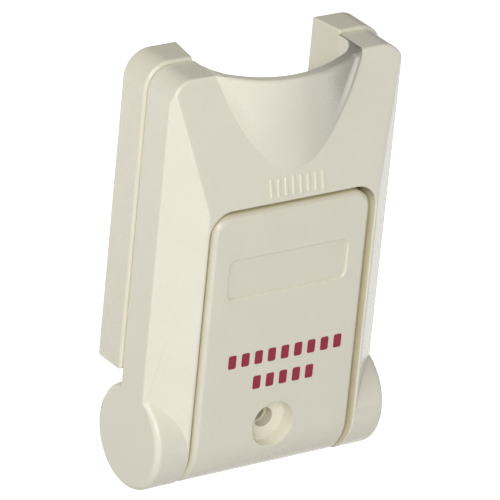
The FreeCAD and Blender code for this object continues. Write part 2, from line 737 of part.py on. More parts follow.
def make_pins_and_washers():
    """Two hinge pins and the coned spring washers on them, one pair at each side."""
    for side, name in ((-1, "left"), (1, "right")):
        pin = new_body(f"hinge_pin_{name}")
        ring = [("-axis_depth", "axis_height", "pin_radius")]
        sketch = new_sketch(pin, "YZ_Plane", circles=ring, lift=f"{side} * pin_start")
        pad(pin, sketch, "pin_length", backward=side < 0)
        soften(pin, "Chamfer", "Size", "pin_chamfer",
               lambda at, edge: not is_straight(edge) and abs(at.x) > value("cover_half"))
        seat_on_row(pin)
        washer = new_body(f"spring_washer_{name}")
        foot = "(cover_half + washer_gap)"
        crown = "(cover_half + washer_gap + washer_cone - washer_thickness)"
        inner = "(pin_radius + pin_running_gap)"
        cone = [
            (f"{side} * {crown}", inner),
            (f"{side} * ({crown} + washer_thickness)", inner),
            (f"{side} * ({foot} + washer_thickness)", "washer_outer_radius"),
            (f"{side} * {foot}", "washer_outer_radius"),
        ]
        sketch = new_sketch(washer, "XZ_Plane", [cone], lift="axis_depth", shift=("0", "axis_height"))
        revolve(washer, sketch, "H_Axis")
        seat_on_row(washer)


def make_magnet():
    """Bar magnet in the lever, and the plate that keeps it in its cradle."""
    magnet = new_body("bar_magnet")
    outline = box_outline("-magnet_length / 2", "magnet_length / 2",
                          "magnet_bottom", "magnet_bottom + magnet_section")
    sketch = new_sketch(magnet, "XZ_Plane", [outline], lift="magnet_front - magnet_section")
    pad(magnet, sketch, "magnet_section")
    soften(magnet, "Chamfer", "Size", "magnet_chamfer",
           lambda at, edge: abs(edge.tangentAt(edge.FirstParameter).x) < 0.1)
    seat_on_row(magnet)
    keeper = new_body("magnet_keeper")
    plate = plaque_outline("(cradle_half - keeper_inset)", "(window_top + flange_thickness + keeper_inset)",
                           "(recess_floor - lever_wall - keeper_inset)", "keeper_corner")
    sketch = new_sketch(keeper, "XZ_Plane", [plate], lift="cradle_back - keeper_thickness")
    pad(keeper, sketch, "keeper_thickness")
    rooted = "cradle_back - keeper_thickness / 2"
    sketch = new_sketch(keeper, "XZ_Plane", circles=keeper_pegs("0"), lift=rooted)
    pad(keeper, sketch, "keeper_peg_length + keeper_thickness / 2")
    seat_on_row(keeper)


def make_circuit_board():
    """Board on two standoffs, with a way through for the upper wall screw."""
    board = new_body("circuit_board")
    outline = plaque_outline("board_half", "(board_middle - board_height / 2)",
                             "(board_middle + board_height / 2)", "board_corner")
    pad(board, new_sketch(board, "XZ_Plane", [outline], lift="board_back"), "board_thickness")
    holes = [("0", "upper_screw_height", "board_access_radius")]
    slots = []
    for side in (-1, 1):
        holes.append((f"{side} * standoff_offset", "standoff_height", "board_screw_radius + board_hole_gap"))
        leg = f"{side} * (lead_span - lead_width) / 2"
        slots.append(centred_outline(leg, "reed_height", "lead_slot", "lead_slot"))
    pocket(board, new_sketch(board, "XZ_Plane", slots, holes), both=True)
    seat_on_row(board)


def make_board_screws():
    """Two pan-head screws that hold the board to its standoffs."""
    for side, name in ((-1, "left"), (1, "right")):
        screw = new_body(f"board_screw_{name}")
        middle = (f"{side} * standoff_offset", "standoff_height")
        shank = [(*middle, "board_screw_radius")]
        sketch = new_sketch(screw, "XZ_Plane", circles=shank, lift="board_front - board_screw_length")
        pad(screw, sketch, "board_screw_length")
        head = [(*middle, "board_screw_head_radius")]
        pad(screw, new_sketch(screw, "XZ_Plane", circles=head, lift="board_front"), "board_screw_head_height")
        top = "board_front + board_screw_head_height"
        soften(screw, "Chamfer", "Size", "screw_head_bevel", lambda at, edge: near(at.y, f"-({top})"))
        for width, height in (("cross_length", "slot_width"), ("slot_width", "cross_length")):
            slot = centred_outline(*middle, width, height)
            pocket(screw, new_sketch(screw, "XZ_Plane", [slot], lift=top), "slot_depth")
        seat_on_row(screw)


def make_reed_switch():
    """Glass reed switch lying level on the board, with its flat leads bent down into it."""
    reed = new_body("reed_switch")
    end = "reed_length / 2"
    glass = [
        (f"-{end}", "0"),
        (f"-{end}", "reed_radius / 2"),
        (f"-{end} + reed_radius / 2", "reed_radius"),
        (f"{end} - reed_radius / 2", "reed_radius"),
        (end, "reed_radius / 2"),
        (end, "0"),
    ]
    sketch = new_sketch(reed, "XZ_Plane", [glass], lift="reed_depth", shift=("0", "reed_height"))
    revolve(reed, sketch, "H_Axis")
    low = "reed_height - lead_width / 2"
    high = "reed_height + lead_width / 2"
    lead = box_outline("-reed_depth - lead_width / 2", "-reed_depth + lead_width / 2", low, high)
    pad(reed, new_sketch(reed, "YZ_Plane", [lead]), "lead_span", both=True)
    legs = [
        box_outline(f"{side} * lead_span / 2", f"{side} * (lead_span / 2 - lead_width)", low, high)
        for side in (-1, 1)
    ]
    pad(reed, new_sketch(reed, "XZ_Plane", legs, lift="board_back"), "reed_depth - board_back")
    seat_on_row(reed)


def make_terminal_block():
    """Three-pole block on the board: wires enter from below, screws are turned from the front."""
    block = new_body("terminal_block")
    outline = box_outline("-block_half", "block_half", "block_bottom", "block_bottom + block_height")
    pad(block, new_sketch(block, "XZ_Plane", [outline], lift="board_front"), "block_depth")
    front = value("block_front")
    soften(block, "Chamfer", "Size", "block_chamfer",
           lambda at, edge: abs(at.y + front) < 0.02 and abs(edge.tangentAt(edge.FirstParameter).x) > 0.9)
    poles = [f"({step} * pole_pitch)" for step in (-1, 0, 1)]
    wells = [(pole, "pole_height", "well_radius") for pole in poles]
    pocket(block, new_sketch(block, "XZ_Plane", circles=wells, lift="block_front"), "well_depth")
    back = "(board_front + entry_back)"
    entries = [
        box_outline(f"{pole} - entry_width / 2", f"{pole} + entry_width / 2",
                    f"-({back} + entry_depth)", f"-{back}")
        for pole in poles
    ]
    pocket(block, new_sketch(block, "XY_Plane", entries, lift="block_bottom"), "entry_height", backward=True)
    shafts = [(pole, "pole_height", "terminal_screw_radius + clamp_gap") for pole in poles]
    pocket(block, new_sketch(block, "XZ_Plane", circles=shafts, lift="screw_seat"),
           "screw_seat - board_front - entry_back - entry_depth / 2")
    seat_on_row(block)
    for number, pole in enumerate(poles, start=1):
        make_terminal_screw(number, pole)
        make_terminal_clamp(number, pole)


def make_terminal_screw(number, pole):
    """Slotted screw of one pole, seated at the bottom of its well."""
    screw = new_body(f"terminal_screw_{number}")
    shank = [(pole, "pole_height", "terminal_screw_radius")]
    pad(screw, new_sketch(screw, "XZ_Plane", circles=shank, lift="screw_seat - terminal_screw_length"),
        "terminal_screw_length")
    head = [(pole, "pole_height", "terminal_head_radius")]
    pad(screw, new_sketch(screw, "XZ_Plane", circles=head, lift="screw_seat"), "terminal_head_height")
    slot = box_outline(f"{pole} - terminal_head_radius", f"{pole} + terminal_head_radius",
                       "pole_height - slot_width / 2", "pole_height + slot_width / 2")
    pocket(screw, new_sketch(screw, "XZ_Plane", [slot], lift="screw_seat + terminal_head_height"),
           "slot_depth")
    seat_on_row(screw)


def make_terminal_clamp(number, pole):
    """Square metal cage of one pole, open downwards for the wire and threaded for its screw."""
    clamp = new_body(f"terminal_clamp_{number}")
    half = "(entry_width / 2 - clamp_gap)"
    back = "(board_front + entry_back + clamp_gap)"
    front = "(board_front + entry_back + entry_depth - clamp_gap)"
    low = "(block_bottom + entry_height - clamp_gap - clamp_height)"
    outline = box_outline(f"{pole} - {half}", f"{pole} + {half}", f"-{front}", f"-{back}")
    pad(clamp, new_sketch(clamp, "XY_Plane", [outline], lift=low), "clamp_height")
    inside = box_outline(f"{pole} - {half} + clamp_side", f"{pole} + {half} - clamp_side",
                         f"-{front} + clamp_wall", f"-{back} - clamp_side")
    pocket(clamp, new_sketch(clamp, "XY_Plane", [inside], lift=low), "clamp_height", backward=True)
    thread = [(pole, "pole_height", "terminal_screw_radius + pilot_gap")]
    pocket(clamp, new_sketch(clamp, "XZ_Plane", circles=thread, lift=front), "clamp_wall")
    seat_on_row(clamp)


def finish():
    """Stop on any object that failed, and write each finished sub-part to its own file."""
    doc.recompute()
    for item in doc.Objects:
        if {"Invalid", "Error"} & set(item.State):
            raise RuntimeError(f"{item.Label} failed: {item.State}")
    os.makedirs("parts", exist_ok=True)
    for item in doc.Objects:
        if item.Label not in NODES:
            continue
        if item.Shape.isNull() or not item.Shape.isValid():
            raise RuntimeError(f"{item.Label} has no valid shape")
        item.Shape.exportStep(f"parts/{item.Label}.step")
        print(item.Label, len(item.Shape.Solids), round(item.Shape.Volume, 1))


NODES = {
    "rear_housing", "front_cover", "pull_lever", "hinge_pin_left", "hinge_pin_right",
    "spring_washer_left", "spring_washer_right", "bar_magnet", "magnet_keeper", "circuit_board",
    "board_screw_left", "board_screw_right", "reed_switch", "terminal_block",
    "terminal_screw_1", "terminal_screw_2", "terminal_screw_3",
    "terminal_clamp_1", "terminal_clamp_2", "terminal_clamp_3",
}

doc = FreeCAD.newDocument("panic_switch")
sheet = doc.addObject("Spreadsheet::Sheet", "sizes")
for row, (name, number) in enumerate(SIZES.items(), start=1):
    sheet.set(f"A{row}", name)
    sheet.set(f"B{row}", str(number))
    sheet.setAlias(f"B{row}", name)
doc.recompute()
make_rear_housing()
make_front_cover()
make_pull_lever()
make_pins_and_washers()
make_magnet()
make_circuit_board()
make_board_screws()
make_reed_switch()
make_terminal_block()
finish()
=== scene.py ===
"""Looks of a wall-mounted pull-lever panic switch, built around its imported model.

Sizes of parts, edges and blocks are in millimetres, and those of finishes, lights and the camera in metres.
"""
import logging
import math
from collections.abc import Callable
from dataclasses import dataclass, field
from enum import Enum

import bmesh
import bpy
from mathutils import Matrix, Vector


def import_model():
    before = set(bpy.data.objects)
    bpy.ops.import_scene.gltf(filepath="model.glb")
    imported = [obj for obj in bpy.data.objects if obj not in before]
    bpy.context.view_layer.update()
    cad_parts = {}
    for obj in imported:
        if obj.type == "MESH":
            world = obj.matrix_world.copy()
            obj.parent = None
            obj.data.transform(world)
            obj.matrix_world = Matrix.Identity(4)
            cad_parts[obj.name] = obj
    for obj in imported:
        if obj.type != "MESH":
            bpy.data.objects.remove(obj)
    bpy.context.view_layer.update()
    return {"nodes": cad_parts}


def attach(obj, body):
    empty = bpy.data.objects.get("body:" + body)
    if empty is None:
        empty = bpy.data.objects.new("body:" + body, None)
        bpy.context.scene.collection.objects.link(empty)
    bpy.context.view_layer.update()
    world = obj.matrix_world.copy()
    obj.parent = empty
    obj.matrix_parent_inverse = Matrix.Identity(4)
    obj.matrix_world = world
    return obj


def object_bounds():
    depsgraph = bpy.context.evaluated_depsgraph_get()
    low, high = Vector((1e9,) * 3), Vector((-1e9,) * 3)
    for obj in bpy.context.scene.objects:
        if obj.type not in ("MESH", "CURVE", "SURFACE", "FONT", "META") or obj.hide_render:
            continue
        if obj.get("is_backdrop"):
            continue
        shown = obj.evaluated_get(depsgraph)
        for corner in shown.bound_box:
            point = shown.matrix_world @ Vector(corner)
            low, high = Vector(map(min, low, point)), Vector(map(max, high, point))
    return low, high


LOG = logging.getLogger("panic_switch")
MM = 0.001

# Places in millimetres: the row frame's origin above the barrel's foot, and the hinge's axis
ROW_HEIGHT = 42.5
HINGE_DEPTH = 13.0
HINGE_HEIGHT = 12.4

# How far a point may lie off an edge and still belong to it, in millimetres
NEAR = 0.02

# Range that most of a noise factor lies in, and the levels of finer noise in a mottled finish
NOISE_RANGE = (0.3, 0.7)
MOTTLED = 3.0

# Places of the colour sockets on a Mix node
MIX_FIRST = 6
MIX_SECOND = 7
MIX_RESULT = 2

Colour = tuple[float, float, float]
Relief = tuple[float, float]
Sockets = dict[str, object]
Tone = Colour | bpy.types.NodeSocket

WHITE: Colour = (1.0, 1.0, 1.0)
IVORY: Colour = (0.700, 0.668, 0.560)


class Body(Enum):
    """Moving groups of the switch."""

    BASE = "base"
    LEVER = "lever"


class Grain(Enum):
    """How a surface's fine texture runs."""

    ALL_WAYS = (1.0, 1.0, 1.0)
    ALONG_X = (0.03, 1.0, 1.0)
    ALONG_Y = (1.0, 0.03, 1.0)


class Fade(Enum):
    """How a ramp runs between its ends."""

    EVEN = "LINEAR"
    SMOOTH = "SMOOTHSTEP"


def place(x: float, depth: float, height: float) -> Vector:
    """Point in the row frame from millimetres across, off the wall and above the barrel's foot.

    Args:
        x: Distance right of the middle plane.
        depth: Distance out from the wall.
        height: Distance above the lowest point of the hinge barrel.

    Returns:
        The point in metres.
    """
    return Vector((x * MM, -depth * MM, height * MM - ROW_HEIGHT * MM))


def located(point: Vector) -> tuple[float, float, float]:
    """Where a point of the row frame lies, in millimetres.

    Args:
        point: Point in metres.

    Returns:
        Distance right of the middle plane, off the wall and above the barrel's foot.
    """
    return point.x / MM, -point.y / MM, (point.z + ROW_HEIGHT * MM) / MM


def on_barrel(depth: float, height: float, radius: float) -> bool:
    """Whether a place lies on the circle of the given radius about the hinge's axis."""
    return abs(math.hypot(depth - HINGE_DEPTH, height - HINGE_HEIGHT) - radius) < NEAR


def scaled(colour: Colour, factor: float) -> Colour:
    """Colour made lighter or darker by a factor."""
    return tuple(channel * factor for channel in colour)


class ShaderSheet:
    """Small helper that lays out the nodes of one material."""

    def __init__(self, name: str) -> None:
        """Start an empty material with a Principled shader and Object coordinates.

        Args:
            name: Name of the material.
        """
        self.material = bpy.data.materials.new(name)
        self.material.use_nodes = True
        self.tree = self.material.node_tree
        self.tree.nodes.clear()
        output = self.tree.nodes.new("ShaderNodeOutputMaterial")
        self.surface = self.add("ShaderNodeBsdfPrincipled")
        self.tree.links.new(self.surface.outputs["BSDF"], output.inputs["Surface"])
        self.coordinates = self.add("ShaderNodeTexCoord").outputs["Object"]

    def add(self, kind: str, sockets: Sockets | None = None, **properties: object) -> bpy.types.Node:
        """Add one node.

        Args:
            kind: Blender's name of the node type.
            sockets: Input values or output sockets to link, by input name.
            **properties: Settings of the node itself.

        Returns:
            The new node.
        """
        node = self.tree.nodes.new(kind)
        for key, setting in properties.items():
            setattr(node, key, setting)
        for key, source in (sockets or {}).items():
            self.feed(node.inputs[key], source)
        return node

    def feed(self, socket: bpy.types.NodeSocket, source: object) -> None:
        """Link a socket to an output, or set it to a value.

        Args:
            socket: Input to fill.
            source: Output socket or plain value.
        """
        if isinstance(source, bpy.types.NodeSocket):
            self.tree.links.new(source, socket)
        else:
            socket.default_value = source

    def axes(self, vector: bpy.types.NodeSocket | None = None) -> tuple[bpy.types.NodeSocket, ...]:
        """Split a vector, or else the Object coordinates, into X, Y and Z."""
        source = self.coordinates if vector is None else vector
        return tuple(self.add("ShaderNodeSeparateXYZ", {"Vector": source}).outputs)

    def maths(self, operation: str, *terms: object) -> bpy.types.NodeSocket:
        """Work out a value from one to three terms.

        Args:
            operation: Blender's name of the operation.
            *terms: Output sockets or plain numbers.

        Returns:
            The result.
        """
        node = self.add("ShaderNodeMath", operation=operation)
        for socket, term in zip(node.inputs, terms):
            self.feed(socket, term)
        return node.outputs["Value"]

    def noise(self, size: float, detail: float = 2.0, grain: Grain = Grain.ALL_WAYS) -> bpy.types.NodeSocket:
        """Noise whose features have about the given size.

        Args:
            size: Feature size in metres.
            detail: Levels of finer noise.
            grain: Direction in which the noise is drawn out.

        Returns:
            The noise factor, from 0 to 1.
        """
        mapping = self.add("ShaderNodeMapping", {"Vector": self.coordinates, "Scale": grain.value})
        sockets = {"Vector": mapping.outputs["Vector"], "Scale": 1.0 / size, "Detail": detail}
        return self.add("ShaderNodeTexNoise", sockets).outputs["Fac"]

    def ramp(self, value: object, low: float, high: float, start: float = 0.0, end: float = 1.0,
             fade: Fade = Fade.SMOOTH) -> bpy.types.NodeSocket:
        """Map a value from one range to another, held at its ends.

        Args:
            value: Output socket or plain number.
            low: Value that gives the start.
            high: Value that gives the end.
            start: Result at the low value.
            end: Result at the high value.
            fade: How the result runs between them.

        Returns:
            The mapped value.
        """
        limits = {"Value": value, "From Min": low, "From Max": high, "To Min": start, "To Max": end}
        return self.add("ShaderNodeMapRange", limits, interpolation_type=fade.value).outputs["Result"]

    def spread(self, factor: bpy.types.NodeSocket, low: float, high: float) -> bpy.types.NodeSocket:
        """Map the range that most of a noise factor lies in to a range of values."""
        return self.ramp(factor, *NOISE_RANGE, low, high, Fade.EVEN)

    def blend(self, factor: object, first: Tone, second: Tone, mode: str = "MIX") -> bpy.types.NodeSocket:
        """Mix two colours by a factor.

        Args:
            factor: Share of the second colour.
            first: Colour at 0, linear or an output socket.
            second: Colour at 1.
            mode: Blender's name of the way to mix.

        Returns:
            The mixed colour.
        """
        node = self.add("ShaderNodeMix", data_type="RGBA", blend_type=mode)
        self.feed(node.inputs["Factor"], factor)
        for number, tone in ((MIX_FIRST, first), (MIX_SECOND, second)):
            self.feed(node.inputs[number], (*tone, 1.0) if isinstance(tone, tuple) else tone)
        return node.outputs[MIX_RESULT]

    def bump(self, height: bpy.types.NodeSocket, relief: Relief) -> None:
        """Feed a height into the shader's normal.

        Args:
            height: Height factor.
            relief: Depth of the relief in metres, and the share of it that shows.
        """
        depth, strength = relief
        node = self.add("ShaderNodeBump", {"Height": height, "Distance": depth, "Strength": strength})
        self.set(Normal=node.outputs["Normal"])

    def set(self, **sockets: object) -> None:
        """Fill inputs of the Principled shader; underscores stand for spaces in their names."""
        for key, source in sockets.items():
            self.feed(self.surface.inputs[key.replace("_", " ")], source)


@dataclass(frozen=True)
class LeverSizes:
    """Sizes of the lever that its edges and its shading share, in millimetres."""

    front: float = 25.4
    top: float = 100.8
    lip_radius: float = 46.8
    lip_set_back: float = 3.0
    brow_foot: float = 70.7


@dataclass(frozen=True)
class LipCrease(LeverSizes):
    """Rounded ends of the bowed lip, where it dips into the sloping brow, with a painted shade line and a
    painted highlight along the crease, in millimetres.

    Attributes:
        lip_lean: How far the lip comes forward for each millimetre down.
        brow_lean: How far the brow falls back for each millimetre up.
        widest: Share of the lip's radius past which its curve is held.
        least_slope: Least slope between lip and brow that counts.
        fades: Heights between which the crease fades in.
        short_of_top: Distances below the top between which it fades in.
        skin: Depths below the surface between which it fades out, so that the back stays plain.
        line_width: Distance over which the painted shade line fades out on either side.
        line_shade: Factor on the plastic's colour in the painted shade line.
        glint: Where the painted highlight streak beside the line starts, peaks and ends.
        glint_gain: Factor on the plastic's colour in the painted highlight streak.
        roll_width: Width of the rounding.
        roll_depth: Depth of the rounding.
        left_roll: Share of the rounding at the lip's left end.
        bow: Extra fall of the lip for each square millimetre across.
        bow_edge: Distances from the crease between which the extra fall starts.
        left_bow: Share of the distance across that counts on the left.
    """

    lip_lean: float = 0.0577
    brow_lean: float = 0.2458
    widest: float = 0.5
    least_slope: float = 0.1
    fades: tuple[float, float] = (86.0, 95.0)
    short_of_top: tuple[float, float] = (0.6, 1.8)
    skin: tuple[float, float] = (0.25, 0.6)
    line_width: float = 0.6
    line_shade: float = 0.68
    glint: tuple[float, float, float] = (0.4, 1.3, 2.8)
    glint_gain: float = 1.25
    roll_width: float = 3.4
    roll_depth: float = 1.0
    left_roll: float = 0.2
    bow: float = 0.020
    bow_edge: tuple[float, float] = (-0.1, 0.3)
    left_bow: float = 0.50

    def distances(self, sheet: ShaderSheet) -> tuple[bpy.types.NodeSocket, bpy.types.NodeSocket]:
        """Work out how far a place lies from the crease and how much of it shows there.

        Args:
            sheet: Material that is being laid out.

        Returns:
            Millimetres from the crease, positive on the lip's side, and the share that shows.
        """
        x, y, z = sheet.axes()
        across = sheet.maths("MULTIPLY", sheet.maths("ABSOLUTE", x), 1 / MM)
        across = sheet.maths("MINIMUM", across, self.lip_radius * self.widest)
        height = sheet.maths("MULTIPLY_ADD", z, 1 / MM, ROW_HEIGHT)
        square = sheet.maths("MULTIPLY", across, across)
        chord = sheet.maths("SQRT", sheet.maths("SUBTRACT", self.lip_radius ** 2, square))
        below = sheet.maths("SUBTRACT", self.top, height)
        lip = sheet.maths("MULTIPLY_ADD", below, -self.lip_lean, self.lip_set_back + self.lip_radius)
        lip = sheet.maths("SUBTRACT", lip, chord)
        brow = sheet.maths("MULTIPLY", sheet.maths("SUBTRACT", height, self.brow_foot), self.brow_lean)
        slope = sheet.maths("MAXIMUM", sheet.maths("DIVIDE", across, chord), self.least_slope)
        away = sheet.maths("DIVIDE", sheet.maths("SUBTRACT", brow, lip), slope)
        shown = sheet.ramp(height, *self.fades)
        shown = sheet.maths("MULTIPLY", shown, sheet.ramp(below, *self.short_of_top))
        set_back = sheet.maths("MULTIPLY_ADD", y, 1 / MM, self.front)
        behind = sheet.maths("SUBTRACT", set_back, sheet.maths("MINIMUM", lip, brow))
        return away, sheet.maths("MULTIPLY", shown, sheet.ramp(behind, *self.skin, 1.0, 0.0))

    def tint(self, sheet: ShaderSheet, shade: bpy.types.NodeSocket, colour: Colour) -> bpy.types.NodeSocket:
        """Paint shade as a dark line along the crease at the lip's right end, and a painted highlight streak
        beside it.

        Args:
            sheet: Material that is being laid out.
            shade: Colour away from the crease.
            colour: Plain colour of the plastic.

        Returns:
            The colour with the painted shade line and the painted highlight in it.
        """
        away, shown = self.distances(sheet)
        across, *_ = sheet.axes()
        # Painted shade and painted highlight only at the lip's right end
        shown = sheet.maths("MULTIPLY", shown, sheet.maths("GREATER_THAN", across, 0.0))
        # Painted highlight: a lighter streak beside the crease
        near, middle, far = self.glint
        rising, falling = sheet.ramp(away, near, middle), sheet.ramp(away, middle, far, 1.0, 0.0)
        painted_highlight = sheet.maths("MULTIPLY", shown, sheet.maths("MULTIPLY", rising, falling))
        shade = sheet.blend(painted_highlight, shade, scaled(colour, self.glint_gain))
        # Painted shade: a dark line along the crease
        line = sheet.ramp(sheet.maths("ABSOLUTE", away), 0.0, self.line_width, 1.0, 0.0)
        return sheet.blend(sheet.maths("MULTIPLY", line, shown), shade, scaled(colour, self.line_shade))

    def roll_off(self, sheet: ShaderSheet) -> None:
        """Turn the lip's surface into the crease at its ends, and bow it a little more.

        Args:
            sheet: Material whose normal gets the turn.
        """
        away, shown = self.distances(sheet)
        across, *_ = sheet.axes()
        right = sheet.maths("GREATER_THAN", across, 0.0)
        turned = {
            "Height": sheet.ramp(away, 0.0, self.roll_width, 1.0, 0.0),
            "Distance": self.roll_depth * MM,
            "Normal": sheet.surface.inputs["Normal"].links[0].from_socket,
        }
        sided = sheet.maths("MULTIPLY_ADD", right, 1 - self.left_roll, self.left_roll)
        turned["Strength"] = sheet.maths("MULTIPLY", shown, sided)
        reach = sheet.maths("MAXIMUM", across, sheet.maths("MULTIPLY", across, -self.left_bow))
        bowed = {
            "Height": sheet.maths("MULTIPLY", sheet.maths("MULTIPLY", reach, reach), -self.bow / MM),
            "Distance": 1.0,
            "Strength": sheet.ramp(away, *self.bow_edge),
            "Normal": sheet.add("ShaderNodeBump", turned).outputs["Normal"],
        }
        sheet.set(Normal=sheet.add("ShaderNodeBump", bowed).outputs["Normal"])


@dataclass(frozen=True)
class PaintedLightWell:
    """Screw well in a cover with painted light: its walls and floor are painted paler than the skin around
    it, in millimetres.
    """

    height: float = 15.0
    radius: float = 5.75
    bore: float = 2.45
    floor_depth: float = 25.1
    gain: float = 1.13

    def tint(self, sheet: ShaderSheet, shade: bpy.types.NodeSocket,
             bare: bpy.types.NodeSocket) -> bpy.types.NodeSocket:
        """Paint light inside the well by making the plastic's colour paler there.

        Args:
            sheet: Material that is being laid out.
            shade: Colour outside the well.
            bare: Colour of the plastic with nothing added.

        Returns:
            The colour with the well in it.
        """
        # Painted light: the plain plastic made paler inside the well
        pale = sheet.blend(1.0, bare, scaled(WHITE, self.gain), "MULTIPLY")
        return sheet.blend(self.share(sheet), shade, pale)

    def share(self, sheet: ShaderSheet) -> bpy.types.NodeSocket:
        """Work out whether a place lies in the well, outside its bore.

        Args:
            sheet: Material that is being laid out.

        Returns:
            1 inside the well and 0 outside it.
        """
        x, y, z = sheet.axes()
        rise = sheet.maths("SUBTRACT", z, place(0.0, 0.0, self.height).z)
        square = sheet.maths("MULTIPLY", x, x)
        reach = sheet.maths("SQRT", sheet.maths("MULTIPLY_ADD", rise, rise, square))
        around = sheet.maths("GREATER_THAN", reach, self.bore * MM)
        within = sheet.maths("MULTIPLY", around, sheet.maths("LESS_THAN", reach, self.radius * MM))
        sunk = sheet.maths("GREATER_THAN", y, place(0.0, self.floor_depth, 0.0).y)
        return sheet.maths("MULTIPLY", within, sunk)


@dataclass(frozen=True)
class MouldedPlastic:
    """Satin injection-moulded plastic with a fine spark-eroded grain and faint flow marks."""

    name: str
    colour: Colour
    roughness: float = 0.28
    smoother: float = 0.04
    rougher: float = 0.05
    index: float = 1.5
    shade: float = 0.025
    cloud_size: float = 9 * MM
    grain_size: float = 0.16 * MM
    grain_relief: Relief = (0.012 * MM, 0.35)
    # Painted bounce light: colour factor, reach and range of the warm tint in narrow gaps
    crevice: Colour = (1.15, 1.11, 0.95)
    crevice_reach: float = 3.2 * MM
    crevice_range: tuple[float, float] = (0.25, 0.75)
    crevice_samples: int = 8
    crease: LipCrease | None = None
    well: PaintedLightWell | None = None

    def material(self) -> bpy.types.Material:
        """Lay out the plastic's nodes.

        Returns:
            The material.
        """
        sheet = ShaderSheet(self.name)
        clouds = sheet.noise(self.cloud_size, MOTTLED)
        grain = sheet.noise(self.grain_size)
        bare = sheet.blend(clouds, scaled(self.colour, 1 - self.shade), scaled(self.colour, 1 + self.shade))
        shade = self.painted_bounce_warmth(sheet, bare)
        if self.well:
            shade = self.well.tint(sheet, shade, bare)
        if self.crease:
            shade = self.crease.tint(sheet, shade, self.colour)
        sheet.set(Base_Color=shade, IOR=self.index)
        low, high = self.roughness - self.smoother, self.roughness + self.rougher
        sheet.set(Roughness=sheet.spread(grain, low, high))
        sheet.bump(grain, self.grain_relief)
        if self.crease:
            self.crease.roll_off(sheet)
        return sheet.material

    def painted_bounce_warmth(self, sheet: ShaderSheet, shade: bpy.types.NodeSocket) -> bpy.types.NodeSocket:
        """Paint warm bounce light into narrow gaps, where light has bounced off the plastic many times.

        Args:
            sheet: Material that is being laid out.
            shade: Colour in the open.

        Returns:
            The colour with painted bounce light in its crevices.
        """
        # Painted bounce light, placed by ambient occlusion
        reach = {"Distance": self.crevice_reach}
        hidden = sheet.add("ShaderNodeAmbientOcclusion", reach, samples=self.crevice_samples).outputs["AO"]
        amount = sheet.ramp(hidden, *self.crevice_range, 1.0, 0.0, Fade.EVEN)
        return sheet.blend(amount, shade, self.crevice, "MULTIPLY")


@dataclass(frozen=True)
class PadPrint:
    """Dry ink film of a pad print, a little uneven over the grain below it."""

    name: str
    colour: Colour
    thin: float = 0.85
    thick: float = 1.2
    roughness: tuple[float, float] = (0.42, 0.55)
    index: float = 1.48
    speckle_size: float = 0.35 * MM
    speckle_relief: Relief = (0.006 * MM, 0.3)

    def material(self) -> bpy.types.Material:
        """Lay out the ink's nodes.

        Returns:
            The material.
        """
        sheet = ShaderSheet(self.name)
        speckle = sheet.noise(self.speckle_size, MOTTLED)
        ink = sheet.blend(speckle, scaled(self.colour, self.thin), scaled(self.colour, self.thick))
        sheet.set(Base_Color=ink, Roughness=sheet.spread(speckle, *self.roughness), IOR=self.index)
        sheet.bump(speckle, self.speckle_relief)
        return sheet.material


@dataclass(frozen=True)
class Metal:
    """Metal with grinding or drawing marks along one direction and a mottled sheen."""

    name: str
    colour: Colour
    roughness: float = 0.30
    grain: Grain = Grain.ALL_WAYS
    smoother: float = 0.06
    rougher: float = 0.10
    tarnish: float = 0.12
    mottle_size: float = 1.6 * MM
    mark_size: float = 0.12 * MM
    mark_relief: Relief = (0.004 * MM, 0.4)

    def material(self) -> bpy.types.Material:
        """Lay out the metal's nodes.

        Returns:
            The material.
        """
        sheet = ShaderSheet(self.name)
        marks = sheet.noise(self.mark_size, MOTTLED, self.grain)
        mottle = sheet.noise(self.mottle_size, MOTTLED)
        dark = scaled(self.colour, 1 - self.tarnish)
        sheet.set(Base_Color=sheet.blend(mottle, dark, self.colour), Metallic=1.0)
        low, high = self.roughness - self.smoother, self.roughness + self.rougher
        sheet.set(Roughness=sheet.spread(marks, low, high))
        sheet.bump(marks, self.mark_relief)
        return sheet.material


@dataclass(frozen=True)
class BoardLaminate:
    """Green solder mask over copper tracks on glass laminate."""

    name: str
    mask: Colour
    track: Colour
    track_pitch: float = 1.9 * MM
    track_half: float = 0.28 * MM
    track_length: float = 1.0
    track_softness: float = 0.2
    track_relief: Relief = (0.03 * MM, 0.6)
    weave_size: float = 0.5 * MM
    roughness: tuple[float, float] = (0.26, 0.38)
    index: float = 1.5

    def material(self) -> bpy.types.Material:
        """Lay out the laminate's nodes.

        Returns:
            The material.
        """
        sheet = ShaderSheet(self.name)
        upright = {"Vector": sheet.coordinates, "Rotation": (math.pi / 2, 0.0, 0.0)}
        sockets = {
            "Vector": sheet.add("ShaderNodeMapping", upright).outputs["Vector"],
            "Scale": 1.0,
            "Mortar Size": self.track_half,
            "Mortar Smooth": self.track_softness,
            "Brick Width": self.track_length,
            "Row Height": self.track_pitch,
        }
        tracks = sheet.add("ShaderNodeTexBrick", sockets).outputs["Fac"]
        sheet.set(Base_Color=sheet.blend(tracks, self.mask, self.track), IOR=self.index)
        sheet.set(Roughness=sheet.spread(sheet.noise(self.weave_size), *self.roughness))
        sheet.bump(tracks, self.track_relief)
        return sheet.material


@dataclass(frozen=True)
class ReedGlass:
    """Drawn glass tube, faintly tinted, with slight draw marks."""

    name: str
    colour: Colour
    mark_size: float = 0.4 * MM
    mark_shade: float = 0.92
    roughness: tuple[float, float] = (0.03, 0.08)
    index: float = 1.47
    clearness: float = 0.85

    def material(self) -> bpy.types.Material:
        """Lay out the glass's nodes.

        Returns:
            The material.
        """
        sheet = ShaderSheet(self.name)
        marks = sheet.noise(self.mark_size, grain=Grain.ALONG_X)
        tint = sheet.blend(marks, self.colour, scaled(self.colour, self.mark_shade))
        sheet.set(Base_Color=tint, IOR=self.index, Transmission_Weight=self.clearness)
        sheet.set(Roughness=sheet.spread(marks, *self.roughness))
        return sheet.material


